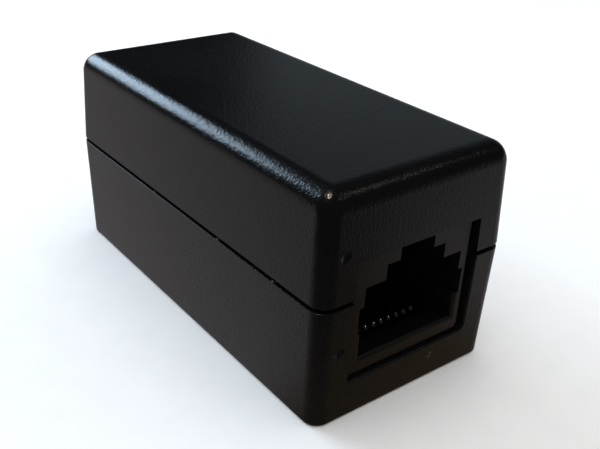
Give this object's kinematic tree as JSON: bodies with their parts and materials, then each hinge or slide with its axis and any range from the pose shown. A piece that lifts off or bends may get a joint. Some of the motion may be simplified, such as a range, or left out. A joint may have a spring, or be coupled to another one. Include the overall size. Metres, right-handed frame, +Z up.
{
  "type": "poe injector",
  "caption": "Small black inline power-over-Ethernet injector: two-part moulded box with a modular network jack in each end and a barrel power jack in one side.",
  "frame": {"origin": "middle of the underside", "axes": "+Z up; +X along the box, out of the front port; the long side with the power jack faces +Y"},
  "size_m": [0.0478, 0.0232, 0.0238],
  "materials": {
    "case": "fine spark-eroded texture, satin black",
    "board": "green solder mask over glass epoxy",
    "port_plastic": "satin black",
    "insert_plastic": "satin black",
    "tinned_leads": "tinned wire",
    "gold_contacts": "thin gold plate over nickel",
    "power_plastic": "satin black",
    "plated_power": "bright nickel plate",
    "fuse_body": "green glass-epoxy laminate",
    "chip_epoxy": "moulded epoxy",
    "chip_ceramic": "fired ceramic"
  },
  "bodies": {
    "case": {"upper_shell": "case", "lower_shell": "case", "circuit_board": "board", "front_port_housing": "port_plastic", "front_port_insert": "insert_plastic", "front_port_leads": "tinned_leads", "rear_port_housing": "port_plastic", "rear_port_insert": "insert_plastic", "rear_port_leads": "tinned_leads", "power_jack_housing": "power_plastic", "power_jack_pin": "plated_power", "power_pin_terminal": "plated_power", "power_sleeve_terminal": "plated_power", "resettable_fuse": "fuse_body", "surge_diode": "chip_epoxy", "filter_capacitor": "chip_ceramic"},
    "front_contacts": {"front_contact_1": "gold_contacts", "front_contact_2": "gold_contacts", "front_contact_3": "gold_contacts", "front_contact_4": "gold_contacts", "front_contact_5": "gold_contacts", "front_contact_6": "gold_contacts", "front_contact_7": "gold_contacts", "front_contact_8": "gold_contacts"},
    "rear_contacts": {"rear_contact_1": "gold_contacts", "rear_contact_2": "gold_contacts", "rear_contact_3": "gold_contacts", "rear_contact_4": "gold_contacts", "rear_contact_5": "gold_contacts", "rear_contact_6": "gold_contacts", "rear_contact_7": "gold_contacts", "rear_contact_8": "gold_contacts"},
    "power_leaf": {"power_jack_leaf": "plated_power"}
  },
  "joints": [
    {"name": "front_contact_flex", "type": "hinge", "parent": "case", "child": "front_contacts", "pos_m": [0.01976, 0, 0.00576], "axis": [0, -1, 0], "range_deg": [0, 9], "stiffness_Nm_per_rad": 0.35},
    {"name": "rear_contact_flex", "type": "hinge", "parent": "case", "child": "rear_contacts", "pos_m": [-0.01976, 0, 0.00576], "axis": [0, 1, 0], "range_deg": [0, 9], "stiffness_Nm_per_rad": 0.35},
    {"name": "power_leaf_flex", "type": "hinge", "parent": "case", "child": "power_leaf", "pos_m": [0, 0.0016, 0.0063], "axis": [-1, 0, 0], "range_deg": [0, 7], "stiffness_Nm_per_rad": 0.1}
  ]
}
